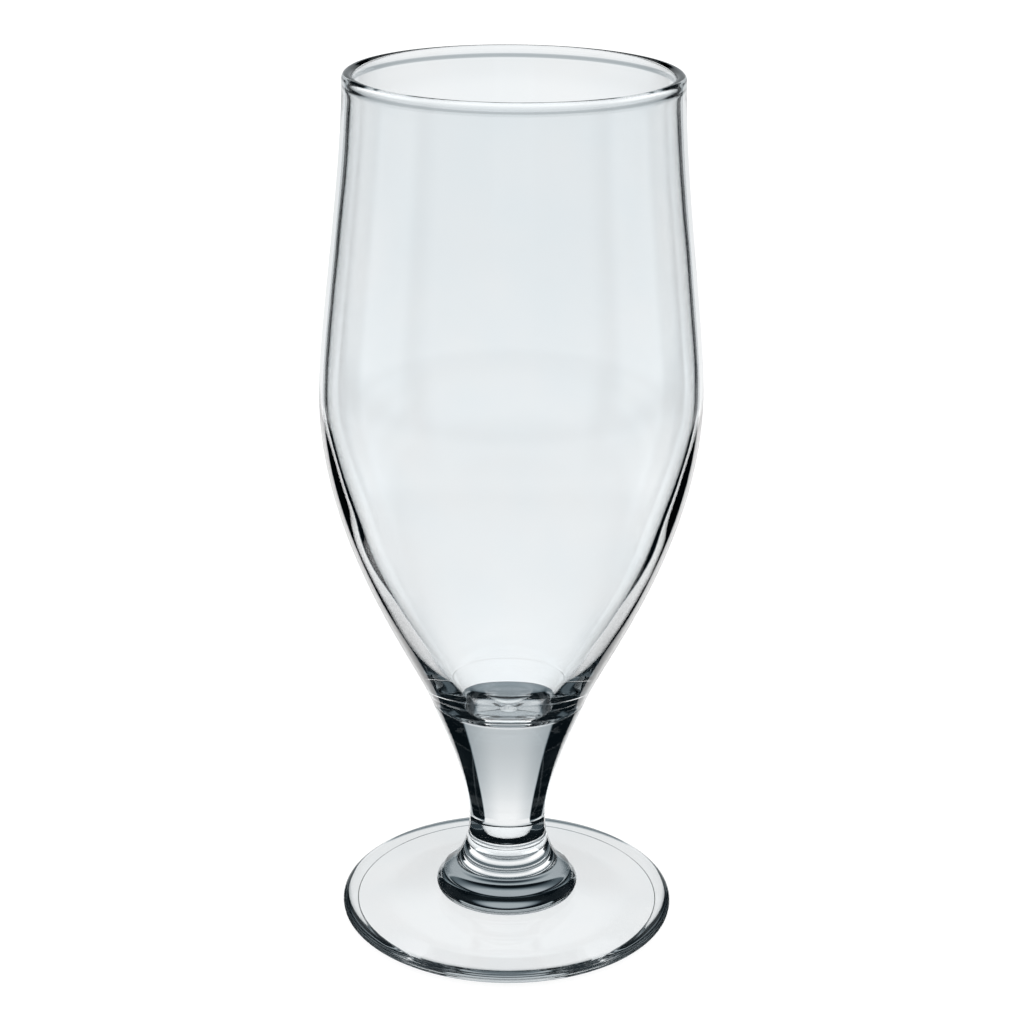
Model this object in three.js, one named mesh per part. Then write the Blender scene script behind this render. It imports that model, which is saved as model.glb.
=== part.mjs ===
// Stemmed beer glass: a blown tulip bowl, a pressed stem, a collar and a foot, welded hot into one.
// Millimetres, +Z up. The origin is on the axis, in the plane that the foot stands on.
import * as THREE from "three";

// Heights of the four pieces, stacked from the table to the rim
const footHeight = 5.0;
const collarHeight = 12.8;
const stemHeight = 26.4;
const bowlHeight = 135.8;

// Foot: a thin disc with a rounded edge, hollowed underneath inside a flat bearing ring
const footRadius = 35.3;
const footEdgeRise = 2.0;
const footEdgeHold = 1.0;
const footShoulderInset = 2.0;
const footShoulderRise = 3.42;
const footShoulderReach = 1.1;
const footShoulderDrop = 0.12;
const bearingInset = 3.5;
const bearingWidth = 4.8;
const bearingReach = 1.4;
const bearingLift = 0.28;
const hollowDepth = 1.3;
const hollowFlat = 13.5;
const hollowFade = 5.4;

// Collar: a bell with a rolled edge on the foot and a fine ridge, below a concave flare up to the stem
const collarSeatRadius = 14.4;
const bellRadius = 15.08;
const bellRise = 1.13;
const bellEdgeHold = 0.78;
const ridgeRadius = 13.5;
const ridgeRise = 3.85;
const ridgeTaperBelow = 0.55;
const ridgeHoldBelow = 1.25;
const ridgeTaperAbove = 1.2;
const ridgeHoldAbove = 2.3;
const flareTaper = 0.3;
const flareHold = 5.8;

// Stem: a slim neck that flares up to the weld under the bowl
const stemFootRadius = 8.25;
const neckRadius = 8.1;
const neckRise = 3.4;
const neckHold = 7.5;
const stemTopHold = 6.7;
const seamDepth = 0.22;

// Weld under the bowl's base, where both carry on one taper, in radius for each unit of height
const weldRadius = 14.18;
const weldTaper = 0.406;

// Bowl, outside: a skirt up to a fine ring, then a taper that swells to the belly and draws in to the rim
const ringRadius = 16.2;
const ringRise = 5.0;
const ringDepth = 0.22;
const ringTaper = 0.39;
const bellyRadius = 38.47;
const bellyRise = 71.3;
const rimRadius = 33.05;
const baseHold = 10.5;
const bellyHoldBelow = 30.0;
const bellyHoldAbove = 12.6;
const rimHold = 17.5;

// Bowl, inside: a bead at the rim, then a wall that thickens down to a narrow floor with a low dome
const rimWall = 1.68;
const beadWall = 2.2;
const beadFade = 3.4;
const bellyWall = 2.0;
const floorThickness = 3.2;
const floorRadius = 7.2;
const domeHeight = 1.4;
const domeHold = 0.4;
const cavityRadius = 9.38;
const cavityCornerRise = 1.5;
const cavityTaper = 0.685;
const cavityHold = 29.65;
const cavityBellyHold = 16.0;

// Facets round the axis, and along each kind of curve
const turnSteps = 56;
const bowlSteps = 12;
const stemSteps = 10;
const flareSteps = 7;
const roundSteps = 4;
const samePoint = 1e-6;

// Clear glass, with the faint cold tint of each piece's own glass
const glassOpacity = 0.35;
const glassRoughness = 0.05;
const blownTint = 0xe2eaec;
const pressedTint = 0xdfe8ea;

const at = (radius, height) => new THREE.Vector2(radius, height);

const straight = (...ends) => ends;

const sweep = (steps, start, startHandle, endHandle, end) =>
  new THREE.CubicBezierCurve(start, startHandle, endHandle, end).getPoints(steps);

const bend = (steps, start, corner, end) =>
  new THREE.QuadraticBezierCurve(start, corner, end).getPoints(steps);

// A quarter of an ellipse from start to end that leaves or meets the vertical at the larger radius.
function quarterRound(start, end) {
  const inner = start.x < end.x ? start : end;
  const outer = start.x < end.x ? end : start;
  const points = [];
  for (let step = 0; step <= roundSteps; step += 1) {
    const turn = (step / roundSteps) * (Math.PI / 2);
    const across = inner.x + (outer.x - inner.x) * Math.cos(turn);
    const along = outer.y + (inner.y - outer.y) * Math.sin(turn);
    points.push(at(across, along));
  }
  return start === outer ? points : points.reverse();
}

// Turns an outline, drawn from the bottom of the axis round to its top, into a solid set at a height.
function turned(name, outline, height, tint) {
  const isNew = (point, index) => index === 0 || point.distanceTo(outline[index - 1]) > samePoint;
  const distinct = outline.filter(isNew);
  const geometry = new THREE.LatheGeometry(distinct, turnSteps);
  geometry.rotateX(Math.PI / 2);
  const material = new THREE.MeshStandardMaterial({ color: tint, roughness: glassRoughness, metalness: 0 });
  material.transparent = true;
  material.opacity = glassOpacity;
  const piece = new THREE.Mesh(geometry, material);
  piece.name = name;
  piece.position.z = height;
  return piece;
}

function makeFoot() {
  const bearingOuter = footRadius - bearingInset;
  const bearingInner = bearingOuter - bearingWidth;
  const edge = at(footRadius, footEdgeRise);
  const shoulder = at(footRadius - footShoulderInset, footShoulderRise);
  const outline = [
    ...sweep(
      flareSteps,
      at(0, hollowDepth),
      at(hollowFlat, hollowDepth),
      at(bearingInner - hollowFade, 0),
      at(bearingInner, 0),
    ),
    ...sweep(
      roundSteps,
      at(bearingOuter, 0),
      at(bearingOuter + bearingReach, bearingLift),
      at(footRadius, footEdgeRise - footEdgeHold),
      edge,
    ),
    ...sweep(
      roundSteps,
      edge,
      at(footRadius, footEdgeRise + footEdgeHold),
      at(shoulder.x + footShoulderReach, shoulder.y - footShoulderDrop),
      shoulder,
    ),
    ...straight(at(collarSeatRadius, footHeight), at(0, footHeight)),
  ];
  return turned("foot", outline, 0, pressedTint);
}

function makeCollar() {
  const bell = at(bellRadius, bellRise);
  const ridge = at(ridgeRadius, ridgeRise);
  const lip = at(stemFootRadius, collarHeight - seamDepth);
  const outline = [
    ...straight(at(0, 0), at(collarSeatRadius, 0)),
    ...quarterRound(at(collarSeatRadius, 0), bell),
    ...sweep(
      roundSteps,
      bell,
      at(bellRadius, bellRise + bellEdgeHold),
      at(ridgeRadius + ridgeTaperBelow * ridgeHoldBelow, ridgeRise - ridgeHoldBelow),
      ridge,
    ),
    ...sweep(
      flareSteps,
      ridge,
      at(ridgeRadius - ridgeTaperAbove * ridgeHoldAbove, ridgeRise + ridgeHoldAbove),
      at(lip.x + flareTaper * flareHold, lip.y - flareHold),
      lip,
    ),
    ...straight(at(stemFootRadius - seamDepth, collarHeight), at(0, collarHeight)),
  ];
  return turned("collar", outline, footHeight, pressedTint);
}

function makeStem() {
  const weld = at(weldRadius, stemHeight);
  const neck = at(neckRadius, neckRise);
  const outline = [
    ...straight(at(0, 0), at(stemFootRadius - seamDepth, 0)),
    ...bend(roundSteps, at(stemFootRadius, seamDepth), at(neckRadius, neckRise / 2), neck),
    ...sweep(
      stemSteps,
      neck,
      at(neckRadius, neckRise + neckHold),
      at(weld.x - weldTaper * stemTopHold, weld.y - stemTopHold),
      weld,
    ),
    ...straight(at(0, stemHeight)),
  ];
  return turned("stem", outline, footHeight + collarHeight, pressedTint);
}

function makeBowl() {
  const ringSlope = ringTaper * ringDepth;
  const ringBelow = at(ringRadius - ringSlope, ringRise - ringDepth);
  const ringAbove = at(ringRadius + ringSlope, ringRise + ringDepth);
  const belly = at(bellyRadius, bellyRise);
  const beadRadius = beadWall / 2;
  const beadRise = bowlHeight - beadRadius;
  const rimOuter = at(rimRadius, beadRise);
  const beadMiddle = beadRise - beadFade / 2;
  const beadInner = at(rimRadius - beadWall, beadRise);
  const rimInner = at(rimRadius - rimWall, beadRise - beadFade);
  const rimTop = at(rimRadius - beadRadius, bowlHeight);
  const innerBelly = at(bellyRadius - bellyWall, bellyRise);
  const shoulder = at(cavityRadius, floorThickness + cavityCornerRise);
  const corner = at(cavityRadius - cavityTaper * cavityCornerRise, floorThickness);
  const floorEdge = at(floorRadius, floorThickness);
  const domeTop = at(0, floorThickness + domeHeight);
  const outerBead = quarterRound(rimOuter, rimTop);
  const innerBead = outerBead.map((point) => at(rimTop.x * 2 - point.x, point.y)).reverse();
  const outline = [
    ...straight(at(0, 0), at(weldRadius, 0)),
    ...straight(ringBelow, at(ringRadius - ringDepth, ringRise), ringAbove),
    ...sweep(
      bowlSteps,
      ringAbove,
      at(ringAbove.x + ringTaper * baseHold, ringAbove.y + baseHold),
      at(bellyRadius, bellyRise - bellyHoldBelow),
      belly,
    ),
    ...sweep(
      bowlSteps,
      belly,
      at(bellyRadius, bellyRise + bellyHoldAbove),
      at(rimRadius, beadRise - rimHold),
      rimOuter,
    ),
    ...outerBead,
    ...innerBead,
    ...sweep(roundSteps, beadInner, at(beadInner.x, beadMiddle), at(rimInner.x, beadMiddle), rimInner),
    ...sweep(
      bowlSteps,
      rimInner,
      at(rimInner.x, beadRise - rimHold),
      at(innerBelly.x, bellyRise + bellyHoldAbove),
      innerBelly,
    ),
    ...sweep(
      bowlSteps,
      innerBelly,
      at(innerBelly.x, bellyRise - cavityBellyHold),
      at(shoulder.x + cavityTaper * cavityHold, shoulder.y + cavityHold),
      shoulder,
    ),
    ...bend(roundSteps, shoulder, corner, floorEdge),
    ...sweep(
      flareSteps,
      floorEdge,
      at(floorRadius * (1 - domeHold), floorThickness),
      at(floorRadius * domeHold, domeTop.y),
      domeTop,
    ),
  ];
  return turned("bowl", outline, footHeight + collarHeight + stemHeight, blownTint);
}

const glass = new THREE.Group();
glass.add(makeFoot(), makeCollar(), makeStem(), makeBowl());

export default glass;
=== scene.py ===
import math

import bmesh
import bpy
from mathutils import Matrix, Vector
from mathutils.geometry import interpolate_bezier


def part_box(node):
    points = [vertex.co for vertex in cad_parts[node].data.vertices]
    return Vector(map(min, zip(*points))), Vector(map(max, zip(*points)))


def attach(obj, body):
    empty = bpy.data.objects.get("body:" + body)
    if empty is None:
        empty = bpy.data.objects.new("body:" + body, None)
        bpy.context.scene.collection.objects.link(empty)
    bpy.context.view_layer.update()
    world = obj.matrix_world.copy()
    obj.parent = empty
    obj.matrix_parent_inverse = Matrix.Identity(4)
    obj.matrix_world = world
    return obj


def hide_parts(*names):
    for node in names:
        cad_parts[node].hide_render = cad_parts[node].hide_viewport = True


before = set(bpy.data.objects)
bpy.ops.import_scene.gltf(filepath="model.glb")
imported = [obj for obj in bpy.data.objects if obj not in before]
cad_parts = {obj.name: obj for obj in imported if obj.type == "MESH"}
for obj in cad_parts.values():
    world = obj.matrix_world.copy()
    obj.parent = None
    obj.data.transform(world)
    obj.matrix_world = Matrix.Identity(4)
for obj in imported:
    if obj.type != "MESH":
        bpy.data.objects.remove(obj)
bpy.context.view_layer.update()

mm = 0.001
turns = 192
sameSpot = 1e-7
# rounding must not push a piece out of the solids' box
clearance = 0.002


def feed(tree, sockets, values):
    for socket, value in zip(sockets, values):
        if isinstance(value, bpy.types.NodeSocket):
            tree.links.new(value, socket)
        else:
            socket.default_value = value


def calc(tree, operation, *values):
    node = tree.nodes.new("ShaderNodeMath")
    node.operation = operation
    feed(tree, node.inputs, values)
    return node.outputs[0]


def product(tree, *values):
    total = values[0]
    for value in values[1:]:
        total = calc(tree, "MULTIPLY", total, value)
    return total


def allBut(tree, share):
    return calc(tree, "SUBTRACT", 1.0, share)


def brightest(tree, *values):
    top = values[0]
    for value in values[1:]:
        top = calc(tree, "MAXIMUM", top, value)
    return top


def ramp(tree, value, start, end, low=0.0, high=1.0):
    node = tree.nodes.new("ShaderNodeMapRange")
    node.interpolation_type = "SMOOTHSTEP"
    names = ("Value", "From Min", "From Max", "To Min", "To Max")
    feed(tree, [node.inputs[name] for name in names], (value, start, end, low, high))
    return node.outputs["Result"]


def blend(tree, share, first, second):
    node = tree.nodes.new("ShaderNodeMix")
    node.data_type = "RGBA"
    feed(tree, [node.inputs["Factor"]], [share])
    feed(tree, [socket for socket in node.inputs if socket.type == "RGBA"], (first, second))
    return next(socket for socket in node.outputs if socket.type == "RGBA")


def stretched(tree, position, scale):
    node = tree.nodes.new("ShaderNodeVectorMath")
    node.operation = "MULTIPLY"
    feed(tree, node.inputs, (position, scale))
    return node.outputs[0]


def cloud(tree, position, scale, detail=2.0):
    node = tree.nodes.new("ShaderNodeTexNoise")
    names = ("Vector", "Scale", "Detail")
    feed(tree, [node.inputs[name] for name in names], (position, scale, detail))
    return node.outputs["Fac"]


# outlines are drawn in the XZ plane, in millimetres, from the bottom of the axis round to its top
def at(radius, height):
    return Vector((radius * mm, 0.0, height * mm))


def lineTo(outline, radius, height):
    outline.append(at(radius, height))


def curveTo(outline, firstHandle, secondHandle, end, steps):
    points = interpolate_bezier(outline[-1], at(*firstHandle), at(*secondHandle), at(*end), steps + 1)
    outline.extend(points[1:])


def roundTo(outline, corner, end, steps):
    # a quarter of an ellipse that leaves and meets the two sides of its corner
    fullness = 0.5523
    start, cornerPoint, endPoint = outline[-1], at(*corner), at(*end)
    points = interpolate_bezier(
        start,
        start.lerp(cornerPoint, fullness),
        endPoint.lerp(cornerPoint, fullness),
        endPoint,
        steps + 1,
    )
    outline.extend(points[1:])


def turnOutline(name, outline, glass):
    bm = bmesh.new()
    verts = [bm.verts.new(point) for point in outline]
    edges = [bm.edges.new(pair) for pair in zip(verts, verts[1:])]
    bmesh.ops.spin(
        bm,
        geom=verts + edges,
        cent=(0, 0, 0),
        axis=(0, 0, 1),
        angle=2 * math.pi,
        steps=turns,
        use_merge=True,
    )
    bmesh.ops.remove_doubles(bm, verts=bm.verts, dist=sameSpot)
    bmesh.ops.recalc_face_normals(bm, faces=bm.faces)
    # an open shell has no inside of its own, so its widest face tells which way is out
    widest = max(bm.faces, key=lambda face: face.calc_center_median().xy.length)
    if widest.normal.xy.dot(widest.calc_center_median().xy) < 0:
        bmesh.ops.reverse_faces(bm, faces=bm.faces)
    for face in bm.faces:
        face.smooth = True
    mesh = bpy.data.meshes.new(name)
    bm.to_mesh(mesh)
    bm.free()
    mesh.materials.append(glass)
    piece = bpy.data.objects.new(name, mesh)
    bpy.context.scene.collection.objects.link(piece)
    return piece


def nodeSpan(node):
    low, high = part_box(node)
    return low.z / mm, high.z / mm, high.x / mm - clearance


footTop, footRadius = nodeSpan("foot")[1:]
collarLow, collarTop, bellRadius = nodeSpan("collar")
stemLow, stemTop, weldRadius = nodeSpan("stem")
bowlLow, bowlTop, bellyRadius = nodeSpan("bowl")
bowlTop -= clearance


# what hot working leaves on glass: slow waves, fine level ripples, a few seeds and a breath of haze
skinLook = {
    "waveDetail": 1.0,
    "rippleScale": (30.0, 30.0, 420.0),
    "rippleShare": 0.03,
    "seedEdge": (0.12, 0.04),
    "seedChoice": (0.93, 0.95),
    "seedShare": 0.2,
    "hazeScale": 55.0,
    "hazeDetail": 6.0,
    "hazeFade": (0.4, 0.8, 1.0, 2.0),
    "tintFade": (0.3, 0.7),
}


def makeSkin():
    skin = bpy.data.node_groups.new("glassSkin", "ShaderNodeTree")
    face = skin.interface
    for name, kind in (
        ("Position", "NodeSocketVector"),
        ("Wave Scale", "NodeSocketFloat"),
        ("Seed Scale", "NodeSocketFloat"),
        ("Polish", "NodeSocketFloat"),
        ("Thin Tint", "NodeSocketColor"),
        ("Thick Tint", "NodeSocketColor"),
    ):
        face.new_socket(name, in_out="INPUT", socket_type=kind)
    for name, kind in (
        ("Tint", "NodeSocketColor"),
        ("Roughness", "NodeSocketFloat"),
        ("Height", "NodeSocketFloat"),
    ):
        face.new_socket(name, in_out="OUTPUT", socket_type=kind)
    given = skin.nodes.new("NodeGroupInput").outputs
    result = skin.nodes.new("NodeGroupOutput").inputs

    position = given["Position"]
    waves = cloud(skin, position, given["Wave Scale"], skinLook["waveDetail"])
    ripples = cloud(skin, stretched(skin, position, skinLook["rippleScale"]), 1.0)
    cells = skin.nodes.new("ShaderNodeTexVoronoi")
    feed(skin, [cells.inputs["Vector"], cells.inputs["Scale"]], (position, given["Seed Scale"]))
    chosen = skin.nodes.new("ShaderNodeSeparateColor")
    feed(skin, chosen.inputs, [cells.outputs["Color"]])
    seeds = product(
        skin,
        ramp(skin, cells.outputs["Distance"], *skinLook["seedEdge"]),
        ramp(skin, chosen.outputs[0], *skinLook["seedChoice"]),
    )
    height = calc(skin, "ADD", waves, product(skin, ripples, skinLook["rippleShare"]))
    height = calc(skin, "ADD", height, product(skin, seeds, skinLook["seedShare"]))
    breath = cloud(skin, position, skinLook["hazeScale"], skinLook["hazeDetail"])
    haze = ramp(skin, breath, *skinLook["hazeFade"])
    feed(skin, [result["Height"]], [height])
    feed(skin, [result["Roughness"]], [product(skin, haze, given["Polish"])])
    share = ramp(skin, waves, *skinLook["tintFade"])
    tint = blend(skin, share, given["Thin Tint"], given["Thick Tint"])
    feed(skin, [result["Tint"]], [tint])
    return skin


glassSkin = makeSkin()
glassIor = 1.51


def makeGlass(name, look):
    material = bpy.data.materials.new(name)
    material.use_nodes = True
    tree = material.node_tree
    shader = tree.nodes["Principled BSDF"]
    shader.inputs["Transmission Weight"].default_value = 1.0
    shader.inputs["IOR"].default_value = glassIor
    coords = tree.nodes.new("ShaderNodeTexCoord")
    skin = tree.nodes.new("ShaderNodeGroup")
    skin.node_tree = glassSkin
    names = ("Wave Scale", "Seed Scale", "Polish", "Thin Tint", "Thick Tint")
    keys = ("waveScale", "seedScale", "polish", "thinTint", "thickTint")
    feed(tree, [skin.inputs["Position"]], [coords.outputs["Object"]])
    feed(tree, [skin.inputs[name] for name in names], [look[key] for key in keys])
    height = skin.outputs["Height"]
    if "seamHeight" in look:
        # the faint line that the weld leaves round the stem
        split = tree.nodes.new("ShaderNodeSeparateXYZ")
        feed(tree, split.inputs, [coords.outputs["Object"]])
        above = calc(tree, "SUBTRACT", split.outputs["Z"], look["seamHeight"] * mm)
        away = calc(tree, "ABSOLUTE", above)
        seam = ramp(tree, away, look["seamReach"] * mm, 0.0, 0.0, look["seamShare"])
        height = calc(tree, "SUBTRACT", height, seam)
    bump = tree.nodes.new("ShaderNodeBump")
    bump.inputs["Strength"].default_value = 1.0
    bump.inputs["Distance"].default_value = look["waveDepth"] * mm
    feed(tree, [bump.inputs["Height"]], [height])
    feed(tree, [shader.inputs["Base Color"]], [skin.outputs["Tint"]])
    feed(tree, [shader.inputs["Roughness"]], [skin.outputs["Roughness"]])
    feed(tree, [shader.inputs["Normal"]], [bump.outputs["Normal"]])
    return material


# a roughness under 0.0037 counts as perfectly smooth, and the studio tells the bowl from the rest by that
blownLook = {
    "waveScale": 70.0,
    "waveDepth": 0.03,
    "seedScale": 90.0,
    "polish": 0.0016,
    "thinTint": (0.972, 0.988, 0.996, 1.0),
    "thickTint": (0.958, 0.982, 0.994, 1.0),
}
pressedLook = {
    "waveScale": 110.0,
    "waveDepth": 0.014,
    "seedScale": 260.0,
    "polish": 0.007,
    "seamHeight": stemTop,
    "seamReach": 0.5,
    "seamShare": 0.4,
    "thinTint": (0.968, 0.984, 0.992, 1.0),
    "thickTint": (0.952, 0.976, 0.988, 1.0),
}
blownGlass = makeGlass("blownGlass", blownLook)
pressedGlass = makeGlass("pressedGlass", pressedLook)
print("glass: blown and pressed materials made")

# stem and bowl carry on one taper across their weld, and a fine seam is left under the stem
weldTaper = 0.406
seamDepth = 0.22
# a close point beside a bend keeps the flat next to it flat under smooth shading
close = 0.15

foot = {
    "edgeRise": 2.0,
    "edgeHold": 1.0,
    "shoulderInset": 2.0,
    "shoulderRise": 3.42,
    "shoulderReach": 1.1,
    "shoulderDrop": 0.12,
    "bearingInset": 3.5,
    "bearingWidth": 4.8,
    "bearingStep": 0.2,
    "bearingReach": 0.9,
    "bearingLift": 0.42,
    "hollowDepth": 1.3,
    "hollowFlat": 13.5,
    "hollowFade": 5.4,
    "seatRadius": 14.4,
}


def makeFoot():
    bearingOuter = footRadius - foot["bearingInset"]
    bearingInner = bearingOuter - foot["bearingWidth"]
    depth = foot["hollowDepth"]
    edge = (footRadius, foot["edgeRise"])
    shoulder = (footRadius - foot["shoulderInset"], foot["shoulderRise"])
    outline = [at(0, depth)]
    curveTo(
        outline,
        (foot["hollowFlat"], depth),
        (bearingInner - foot["hollowFade"], 0),
        (bearingInner, 0),
        steps=24,
    )
    lineTo(outline, bearingInner + close, 0)
    lineTo(outline, bearingOuter - close, 0)
    lineTo(outline, bearingOuter, 0)
    step = foot["bearingStep"]
    middle = bearingOuter + step / 2
    curveTo(outline, (middle, 0), (middle, step), (bearingOuter + step, step), steps=8)
    curveTo(
        outline,
        (edge[0] - foot["bearingReach"], foot["bearingLift"]),
        (edge[0], edge[1] - foot["edgeHold"]),
        edge,
        steps=18,
    )
    curveTo(
        outline,
        (edge[0], edge[1] + foot["edgeHold"]),
        (shoulder[0] + foot["shoulderReach"], shoulder[1] - foot["shoulderDrop"]),
        shoulder,
        steps=12,
    )
    slope = (footTop - shoulder[1]) / (shoulder[0] - foot["seatRadius"])
    lineTo(outline, shoulder[0] - close, shoulder[1] + slope * close)
    lineTo(outline, foot["seatRadius"] + close, footTop - slope * close)
    lineTo(outline, foot["seatRadius"], footTop)
    return turnOutline("footDisc", outline, pressedGlass)


collar = {
    "seatRadius": 14.4,
    "bellRise": 1.13,
    "edgeHold": 0.78,
    "ridgeRadius": 13.5,
    "ridgeRise": 3.85,
    "ridgeTaperBelow": 0.55,
    "ridgeHoldBelow": 1.25,
    "ridgeTaperAbove": 1.2,
    "ridgeHoldAbove": 2.3,
    "lipTaper": 0.3,
    "lipHold": 5.8,
    "stemRadius": 8.25,
}


def makeCollar():
    bell = (bellRadius, collarLow + collar["bellRise"])
    ridge = (collar["ridgeRadius"], collarLow + collar["ridgeRise"])
    lip = (collar["stemRadius"], collarTop - seamDepth)
    below, above, hold = collar["ridgeHoldBelow"], collar["ridgeHoldAbove"], collar["lipHold"]
    outline = [at(collar["seatRadius"], collarLow)]
    roundTo(outline, (bell[0], collarLow), bell, steps=10)
    curveTo(
        outline,
        (bell[0], bell[1] + collar["edgeHold"]),
        (ridge[0] + collar["ridgeTaperBelow"] * below, ridge[1] - below),
        ridge,
        steps=20,
    )
    curveTo(
        outline,
        (ridge[0] - collar["ridgeTaperAbove"] * above, ridge[1] + above),
        (lip[0] + collar["lipTaper"] * hold, lip[1] - hold),
        lip,
        steps=40,
    )
    lineTo(outline, lip[0] - seamDepth, collarTop)
    return turnOutline("stemCollar", outline, pressedGlass)


stem = {"footRadius": 8.25, "neckRadius": 8.1, "neckRise": 3.4, "neckHold": 7.5, "topHold": 6.7}


def makeStem():
    neck = (stem["neckRadius"], stemLow + stem["neckRise"])
    middle = stemLow + stem["neckRise"] / 2
    hold = stem["topHold"]
    outline = [at(stem["footRadius"] - seamDepth, stemLow)]
    lineTo(outline, stem["footRadius"], stemLow + seamDepth)
    curveTo(outline, (stem["neckRadius"], middle), (stem["neckRadius"], middle), neck, steps=8)
    curveTo(
        outline,
        (neck[0], neck[1] + stem["neckHold"]),
        (weldRadius - weldTaper * hold, stemTop - hold),
        (weldRadius, stemTop),
        steps=40,
    )
    return turnOutline("flaredStem", outline, pressedGlass)


bowl = {
    "ringRadius": 16.2,
    "ringRise": 5.0,
    "ringTaper": 0.39,
    "ringDepth": 0.035,
    "ringWidth": 0.6,
    "bellyRise": 71.3,
    "rimRadius": 33.05,
    "baseHold": 10.5,
    "bellyHoldBelow": 30.0,
    "bellyHoldAbove": 12.6,
    "rimHold": 17.5,
    "rimWall": 1.68,
    "beadWall": 2.2,
    "beadFade": 1.8,
    "bellyWall": 1.66,
    "floorThickness": 3.3,
    "floorHold": 0.82,
    "floorReach": 0.88,
    "floorStart": 10.8,
    "cavityRadius": 9.0,
    "cavityEnd": 3.8,
    "cavityTaper": 0.72,
    "cavityHold": 26.7,
    "cavityBellyHold": 16.2,
    "wallSteps": 60,
    "swellDepth": 0.1,
    "swellRise": 49.1,
    "swellReach": 8.5,
}


def addRing(outline, ring):
    # a shallow rounded groove round the bowl's foot
    radius, height = ring
    half = bowl["ringWidth"] / 2
    slope = bowl["ringTaper"] * half
    bottom = radius - bowl["ringDepth"]
    below, above = height - half / 2, height + half / 2
    upper = (radius + slope, height + half)
    lineTo(outline, radius - slope, height - half)
    curveTo(outline, (radius - slope / 2, below), (bottom, below), (bottom, height), steps=6)
    curveTo(outline, (bottom, above), (radius + slope / 2, above), upper, steps=6)
    return upper


def addOutside(outline, bellyHeight, rimHeight):
    lip = addRing(outline, (bowl["ringRadius"], bowlLow + bowl["ringRise"]))
    rim = bowl["rimRadius"]
    curveTo(
        outline,
        (lip[0] + bowl["ringTaper"] * bowl["baseHold"], lip[1] + bowl["baseHold"]),
        (bellyRadius, bellyHeight - bowl["bellyHoldBelow"]),
        (bellyRadius, bellyHeight),
        steps=60,
    )
    curveTo(
        outline,
        (bellyRadius, bellyHeight + bowl["bellyHoldAbove"]),
        (rim, rimHeight - bowl["rimHold"]),
        (rim, rimHeight),
        steps=50,
    )


def addInside(outline, bellyHeight, rimHeight):
    rim = bowl["rimRadius"] - bowl["rimWall"]
    beadEnd = rimHeight - bowl["beadFade"]
    belly = bellyRadius - bowl["bellyWall"]
    floor = bowlLow + bowl["floorThickness"]
    end = (bowl["cavityRadius"], bowlLow + bowl["cavityEnd"])
    bead = bowl["rimRadius"] - bowl["beadWall"]
    middle = (rimHeight + beadEnd) / 2
    curveTo(outline, (bead, middle), (rim, middle), (rim, beadEnd), steps=12)
    curveTo(
        outline,
        (rim, rimHeight - bowl["rimHold"]),
        (belly, bellyHeight + bowl["bellyHoldAbove"]),
        (belly, bellyHeight),
        steps=50,
    )
    curveTo(
        outline,
        (belly, bellyHeight - bowl["cavityBellyHold"]),
        (end[0] + bowl["cavityTaper"] * bowl["cavityHold"], end[1] + bowl["cavityHold"]),
        end,
        steps=bowl["wallSteps"],
    )
    # the blown wall is a little thicker where it starts to draw in
    for point in outline[-bowl["wallSteps"]:]:
        away = (point.z / mm - bowlLow - bowl["swellRise"]) / bowl["swellReach"]
        point.x -= bowl["swellDepth"] * mm * math.exp(-away * away)
    # and it rounds off into the floor before its own end
    while outline[-1].z < (bowlLow + bowl["floorStart"]) * mm:
        outline.pop()
    radius, height = outline[-1].x / mm, outline[-1].z / mm
    slope = (outline[-2].x - outline[-1].x) / (outline[-2].z - outline[-1].z)
    drop = (height - floor) * bowl["floorReach"]
    curveTo(
        outline,
        (radius - slope * drop, height - drop),
        (radius * bowl["floorHold"], floor),
        (0, floor),
        steps=40,
    )


def makeBowl():
    bellyHeight = bowlLow + bowl["bellyRise"]
    bead = bowl["beadWall"] / 2
    rimHeight = bowlTop - bead
    rim = bowl["rimRadius"]
    innerRim = rim - bowl["beadWall"]
    outline = [at(weldRadius, bowlLow)]
    addOutside(outline, bellyHeight, rimHeight)
    roundTo(outline, (rim, bowlTop), (rim - bead, bowlTop), steps=10)
    roundTo(outline, (innerRim, bowlTop), (innerRim, rimHeight), steps=10)
    addInside(outline, bellyHeight, rimHeight)
    return turnOutline("tulipBowl", outline, blownGlass)


pieces = [
    (makeFoot(), "foot", "pressed_glass"),
    (makeCollar(), "collar", "pressed_glass"),
    (makeStem(), "stem", "pressed_glass"),
    (makeBowl(), "bowl", "blown_glass"),
]
for piece, node, slot in pieces:
    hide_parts(node)
    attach(piece, "root")
print("pieces: four turned")

camera = {
    "focal": 84.27,
    "sensor": 36.0,
    "nearest": 10.0,
    "farthest": 50000.0,
    "height": 259.4,
    "distance": 459.2,
    "aside": 0.38,
    "pitch": 20.22,
    "roll": 0.545,
}


def placeCamera():
    data = bpy.data.cameras.new("photoCamera")
    data.lens = camera["focal"]
    data.sensor_width = camera["sensor"]
    data.clip_start, data.clip_end = camera["nearest"] * mm, camera["farthest"] * mm
    body = bpy.data.objects.new("photoCamera", data)
    tilt = Matrix.Rotation(math.radians(90 - camera["pitch"]), 3, "X")
    roll = Matrix.Rotation(math.radians(camera["roll"]), 3, "Z")
    body.rotation_euler = (tilt @ roll).to_euler()
    body.location = (camera["aside"] * mm, -camera["distance"] * mm, camera["height"] * mm)
    bpy.context.scene.collection.objects.link(body)
    bpy.context.scene.camera = body


placeCamera()
print("camera: placed")

white = (1.0, 1.0, 1.0, 1.0)
floorLook = {"size": 6000.0, "drop": 0.2, "colour": (0.25, 0.25, 0.25, 1.0), "roughness": 0.9, "glow": 0.9}


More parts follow.
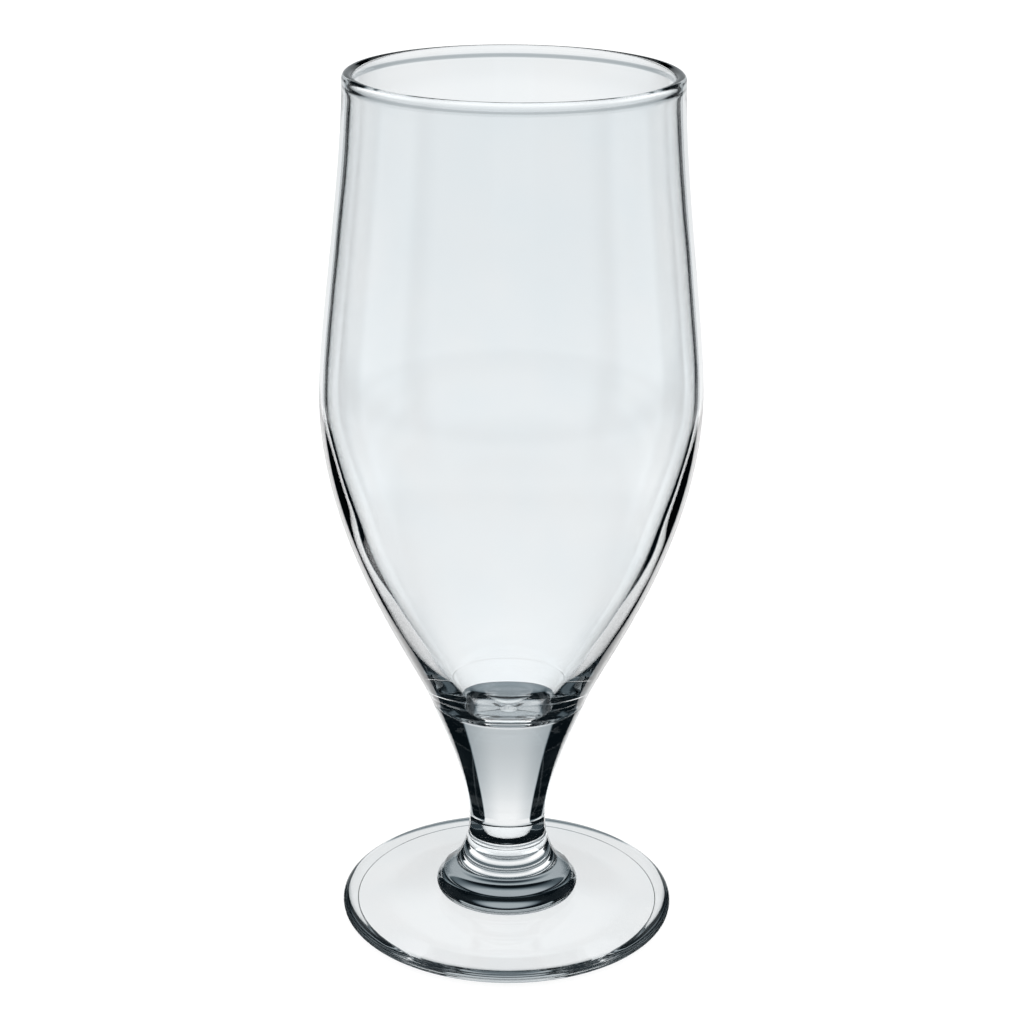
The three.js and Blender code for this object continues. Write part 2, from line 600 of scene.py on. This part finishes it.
def makeFloor():
    bm = bmesh.new()
    bmesh.ops.create_grid(bm, x_segments=1, y_segments=1, size=floorLook["size"] * mm)
    mesh = bpy.data.meshes.new("floor")
    bm.to_mesh(mesh)
    bm.free()
    material = bpy.data.materials.new("paleFloor")
    material.use_nodes = True
    shader = material.node_tree.nodes["Principled BSDF"]
    shader.inputs["Base Color"].default_value = floorLook["colour"]
    shader.inputs["Roughness"].default_value = floorLook["roughness"]
    shader.inputs["Emission Color"].default_value = white
    shader.inputs["Emission Strength"].default_value = floorLook["glow"]
    mesh.materials.append(material)
    piece = bpy.data.objects.new("floor", mesh)
    piece.location.z = -floorLook["drop"] * mm
    # the studio stands for the table in what the glass shows
    piece.visible_transmission = False
    piece.visible_glossy = False
    bpy.context.scene.collection.objects.link(piece)


makeFloor()
print("floor: laid")

# where the studio is lit: fades in degrees, from none to full or between two levels of their own
# turn is counted from straight behind the glass to either side, rise from level
areas = {
    "backdrop": {
        "turn": [],
        "rise": [(20.0, 16.0), (14.0, -26.0, 0.51, 1.0), (-31.0, -42.0, 1.0, 0.67), (-60.0, -46.0)],
        "level": 1.0,
    },
    "lifted": {"turn": [(4.0, 26.0)], "rise": [(-20.0, -36.0, 1.05, 0.45)], "level": 1.0},
    "bounced": {"turn": [(11.0, 20.0)], "rise": [(-17.0, -20.0)], "level": 0.6},
    "dimmed": {"turn": [(6.0, 26.0, 0.01, 0.21)], "rise": [], "level": 1.0},
    "below": {"turn": [(66.0, 54.0)], "rise": [(-48.0, -66.0)], "level": 0.35},
    "side": {"turn": [(56.0, 64.0), (118.0, 108.0)], "rise": [(-13.0, -9.0), (1.0, -3.0)], "level": 1.0},
    "rear": {"turn": [(118.0, 132.0)], "rise": [(-14.0, -8.0), (12.0, 8.0)], "level": 0.45},
    "near": {"turn": [(112.0, 128.0)], "rise": [(-27.0, -33.0), (-68.0, -58.0)], "level": 0.62},
    "panels": {"turn": [(60.0, 68.0)], "rise": [(-12.0, -17.0), (-42.0, -34.0)], "level": 0.8},
    "around": {"turn": [(57.0, 64.0)], "rise": [(-32.0, -26.0), (8.0, -10.0, 0.35, 0.8)], "level": 1.0},
    "above": {
        "turn": [(70.0, 44.0, 0.35, 1.0)],
        "rise": [(27.0, 33.0), (46.0, 38.0, 0.16, 0.45)],
        "level": 1.0,
    },
    "low": {"turn": [], "rise": [(-54.0, -46.0)], "level": 1.0},
    "mouth": {"turn": [], "rise": [(1.0, -3.0)], "level": 1.0},
    "table": {"turn": [], "rise": [(14.0, -18.0, 0.8, 1.0)], "level": 1.0},
}
studio = {
    "wallFaces": 3.5,  # light through both walls of the bowl passes four faces or more
    "thinFaces": 5.5,
    "backdropWidth": (-8.0, 8.0, 28.4, 26.0),
    "backdropFlare": (-32.0, -44.0, 0.0, 9.0),
    "backdropEdge": 1.2,
    "sideLevel": (1.4, 1.6, 0.6, 0.12),
    "stemDrop": (27.0, 31.0, 0.0, 5.5),
    "lowStart": (-21.5, -25.5),
    "tableLevel": 0.97,
    "tableLift": (-14.0, -34.0, -0.07, 0.2),
    "darkest": 0.006,
    "toneFalloff": (0.18, 0.06, 0.0),
}


def litArea(tree, compass, name, *shares):
    area = areas[name]
    fades = [ramp(tree, compass[axis], *fade) for axis in compass for fade in area[axis]]
    return product(tree, area["level"], *fades, *shares)


def makeBackdrop(tree, compass, direct, walls, solid):
    # a lit panel behind the glass, brightest low down at both sides, with sharp upright edges
    turn, rise = compass.values()
    flare = ramp(tree, rise, *studio["backdropFlare"])
    width = calc(tree, "ADD", ramp(tree, rise, *studio["backdropWidth"]), flare)
    edge = studio["backdropEdge"]
    lifted = litArea(tree, compass, "lifted", direct, walls)
    bounced = litArea(tree, compass, "bounced", allBut(tree, direct))
    return litArea(
        tree,
        compass,
        "backdrop",
        ramp(tree, calc(tree, "SUBTRACT", turn, width), edge, -edge),
        calc(tree, "ADD", 1.0, brightest(tree, lifted, bounced)),
        allBut(tree, litArea(tree, compass, "dimmed", solid)),
    )


def makeTable(tree, compass, direct, walls, thin, blown):
    # what is looked at straight through the glass is the same pale table from every side
    turn, rise = compass.values()
    # the stem's dark sides need a lower start than the foot
    lowered = calc(tree, "ADD", rise, ramp(tree, turn, *studio["stemDrop"]))
    start = ramp(tree, lowered, *studio["lowStart"])
    low = litArea(tree, compass, "low", brightest(tree, walls, start))
    mouth = litArea(tree, compass, "mouth", blown)
    lift = product(tree, walls, ramp(tree, rise, *studio["tableLift"]))
    level = calc(tree, "ADD", studio["tableLevel"], lift)
    return litArea(tree, compass, "table", direct, brightest(tree, thin, low, mouth), level)


def makeLight(tree, compass, path):
    # light is told apart by its path: how often it was reflected, how many glass faces it passed,
    # and whether it left through the bowl, which counts as perfectly smooth
    reflections = path["Glossy Depth"]
    faces = path["Transmission Depth"]
    direct = calc(tree, "LESS_THAN", reflections, 0.5)
    walls = calc(tree, "GREATER_THAN", faces, studio["wallFaces"])
    thin = product(tree, walls, calc(tree, "LESS_THAN", faces, studio["thinFaces"]))
    solid = product(tree, direct, allBut(tree, walls))
    blown = product(tree, path["Is Singular Ray"], path["Is Transmission Ray"])
    once = product(tree, blown, calc(tree, "COMPARE", reflections, 1.0, 0.5))
    return brightest(
        tree,
        makeBackdrop(tree, compass, direct, walls, solid),
        makeTable(tree, compass, direct, walls, thin, blown),
        litArea(tree, compass, "below"),
        litArea(tree, compass, "side", ramp(tree, reflections, *studio["sideLevel"])),
        litArea(tree, compass, "rear"),
        litArea(tree, compass, "near", walls),
        litArea(tree, compass, "panels", once),
        litArea(tree, compass, "around", solid),
        litArea(tree, compass, "above"),
        studio["darkest"],
    )


def makeStudio():
    world = bpy.data.worlds.new("studio")
    bpy.context.scene.world = world
    world.use_nodes = True
    tree = world.node_tree
    coords = tree.nodes.new("ShaderNodeTexCoord")
    split = tree.nodes.new("ShaderNodeSeparateXYZ")
    feed(tree, split.inputs, [coords.outputs["Generated"]])
    x, y, z = split.outputs
    turn = calc(tree, "DEGREES", calc(tree, "ABSOLUTE", calc(tree, "ARCTAN2", x, y)))
    rise = calc(tree, "DEGREES", calc(tree, "ARCSINE", z))
    path = tree.nodes.new("ShaderNodeLightPath").outputs
    light = makeLight(tree, {"turn": turn, "rise": rise}, path)
    # dim parts are a little colder
    dimness = calc(tree, "MINIMUM", light, 1.0)
    tone = tree.nodes.new("ShaderNodeCombineColor")
    for socket, falloff in zip(tone.inputs, studio["toneFalloff"]):
        feed(tree, [socket], [product(tree, light, calc(tree, "POWER", dimness, falloff))])
    # the page behind the glass stays plain white
    page = brightest(tree, path["Is Camera Ray"], path["Is Diffuse Ray"])
    seen = blend(tree, page, tone.outputs[0], white)
    feed(tree, [tree.nodes["Background"].inputs["Color"]], [seen])


makeStudio()
print("studio: lit")

scene = bpy.context.scene
scene.view_settings.view_transform = "Standard"
scene.cycles.max_bounces = 32
scene.cycles.transmission_bounces = 32
scene.cycles.glossy_bounces = 16
scene.cycles.transparent_max_bounces = 32
